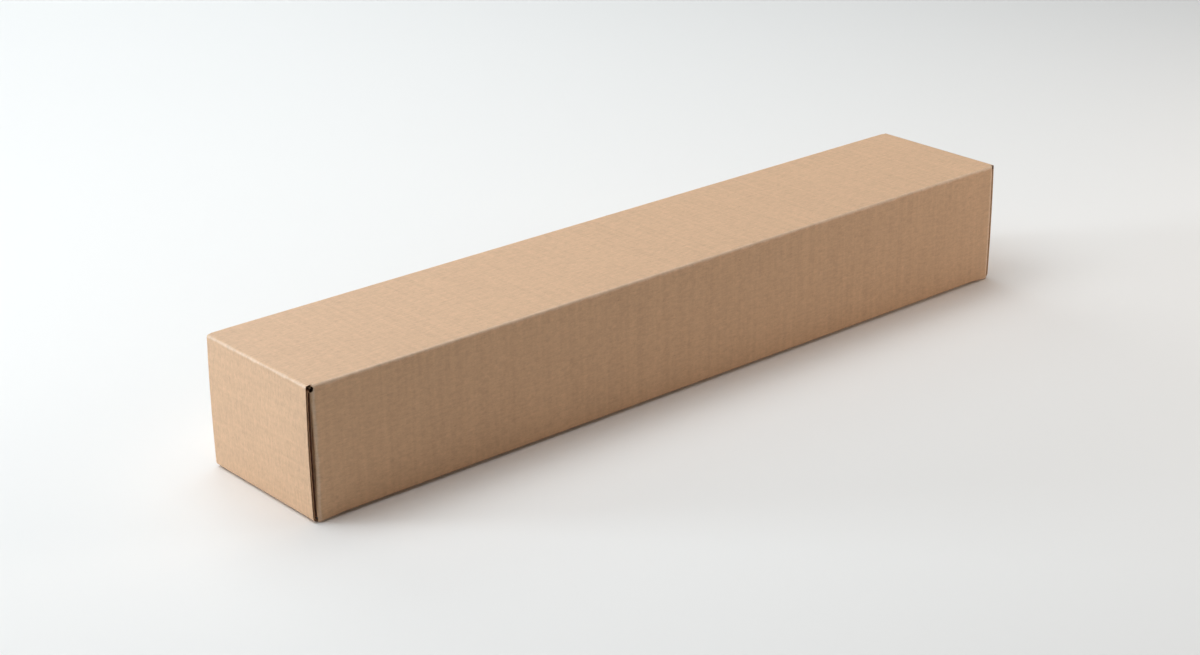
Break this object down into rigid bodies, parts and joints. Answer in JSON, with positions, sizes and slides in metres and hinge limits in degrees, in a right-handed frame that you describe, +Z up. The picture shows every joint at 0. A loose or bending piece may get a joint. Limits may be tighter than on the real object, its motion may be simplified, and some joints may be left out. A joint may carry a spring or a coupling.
{
  "type": "long cardboard box",
  "caption": "Long closed corrugated-board box of rectangular section, with an end flap at each end that hinges on the top panel and tucks in over the bottom panel.",
  "frame": {"origin": "middle of the underside", "axes": "+X along the length, +Y to the back face, +Z up; the near end is at -X"},
  "size_m": [0.62, 0.112, 0.09],
  "materials": {
    "kraft_board": "matt brown kraft"
  },
  "bodies": {
    "sleeve": {"box_sleeve": "kraft_board"},
    "near_flap": {"near_end_flap": "kraft_board"},
    "far_flap": {"far_end_flap": "kraft_board"}
  },
  "joints": [
    {"name": "near_flap_hinge", "type": "hinge", "parent": "sleeve", "child": "near_flap", "pos_m": [-0.30838, 0, 0.08897], "axis": [0, 1, 0], "range_deg": [0, 165]},
    {"name": "far_flap_hinge", "type": "hinge", "parent": "sleeve", "child": "far_flap", "pos_m": [0.30838, 0, 0.08897], "axis": [0, -1, 0], "range_deg": [0, 165]}
  ]
}
